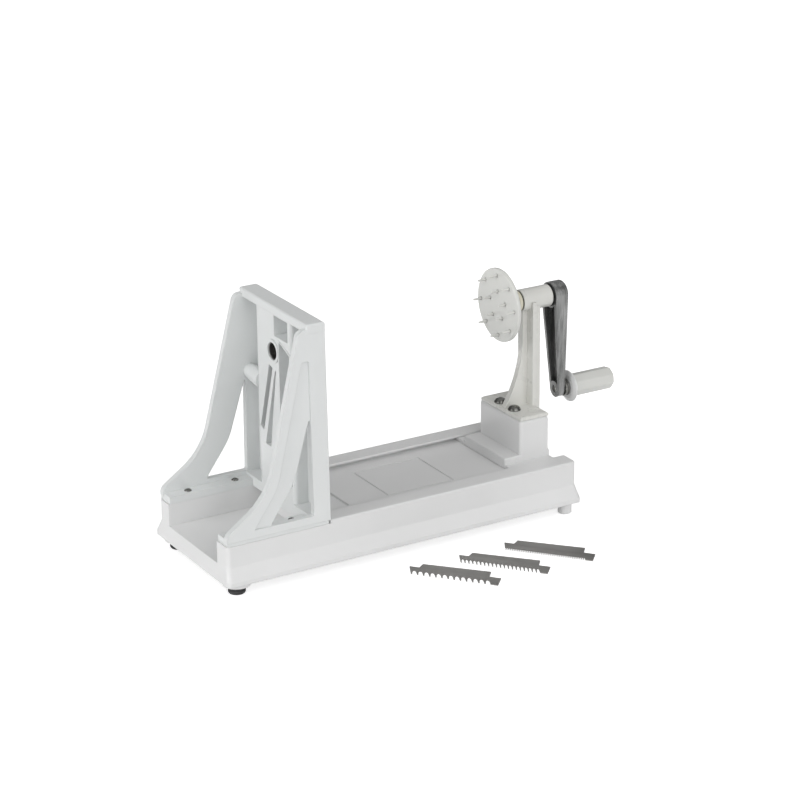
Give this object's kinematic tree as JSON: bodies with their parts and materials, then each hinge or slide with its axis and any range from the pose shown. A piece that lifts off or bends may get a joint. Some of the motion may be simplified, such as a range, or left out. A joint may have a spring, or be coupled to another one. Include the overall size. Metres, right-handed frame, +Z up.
{
  "type": "vegetable spiralizer with crank",
  "caption": "Horizontal table-top vegetable spiralizer: upright blade tower, sliding carriage with hand crank and prong disc, and loose spare combs beside it.",
  "frame": {"origin": "on the table, under the centre of the footprint of the machine and its spare combs", "axes": "+X along the base from the blade tower towards the crank, +Y across it away from the spare combs, +Z up"},
  "size_m": [0.4444, 0.2468, 0.2336],
  "materials": {
    "white_plastic": "moulded, semi-gloss",
    "ivory_plastic": "moulded, glossy, slightly yellow",
    "handle_plastic": "moulded, glossy",
    "black_rubber": "soft, matt",
    "zinc_steel": "plated",
    "blade_steel": "ground",
    "polished_arm": "cast and polished",
    "brass_insert": "turned"
  },
  "bodies": {
    "machine": {"base_channel": "white_plastic", "rubber_feet": "black_rubber", "peg_feet": "white_plastic", "foot_screws": "zinc_steel", "tower_frame": "white_plastic", "tower_screws": "zinc_steel", "corer_tube": "blade_steel", "slicing_blade": "blade_steel", "blade_screws": "zinc_steel", "clamp_insert": "brass_insert", "comb_coarse": "blade_steel", "comb_medium": "blade_steel", "comb_fine": "blade_steel"},
    "clamp": {"clamp_screw": "zinc_steel", "clamp_knob": "white_plastic"},
    "carriage": {"carriage_block": "white_plastic", "crank_post": "white_plastic", "dome_screws": "zinc_steel", "post_nuts": "zinc_steel", "front_bush": "ivory_plastic", "rear_bush": "ivory_plastic"},
    "crank": {"drive_shaft": "zinc_steel", "prong_disc": "white_plastic", "disc_collar": "ivory_plastic", "seal_washer": "black_rubber", "crank_arm": "polished_arm", "arm_set_screw": "zinc_steel", "handle_pin": "zinc_steel", "grip_clip": "zinc_steel"},
    "grip": {"handle_collar": "handle_plastic", "handle_grip": "handle_plastic", "grip_plug": "handle_plastic"}
  },
  "joints": [
    {"name": "carriage_slide", "type": "slide", "parent": "machine", "child": "carriage", "axis": [-1, 0, 0], "range_m": [0, 0.19]},
    {"name": "crank_spin", "type": "hinge", "parent": "carriage", "child": "crank", "pos_m": [0.13515, 0.04513, 0.1914], "axis": [1, 0, 0], "continuous": true},
    {"name": "grip_spin", "type": "hinge", "parent": "crank", "child": "grip", "pos_m": [0.18015, 0.04513, 0.0972], "axis": [1, 0, 0], "continuous": true},
    {"name": "clamp_turn", "type": "hinge", "parent": "machine", "child": "clamp", "pos_m": [-0.12885, 0.10513, 0.1544], "axis": [0, 1, 0], "range_deg": [0, 180]}
  ]
}
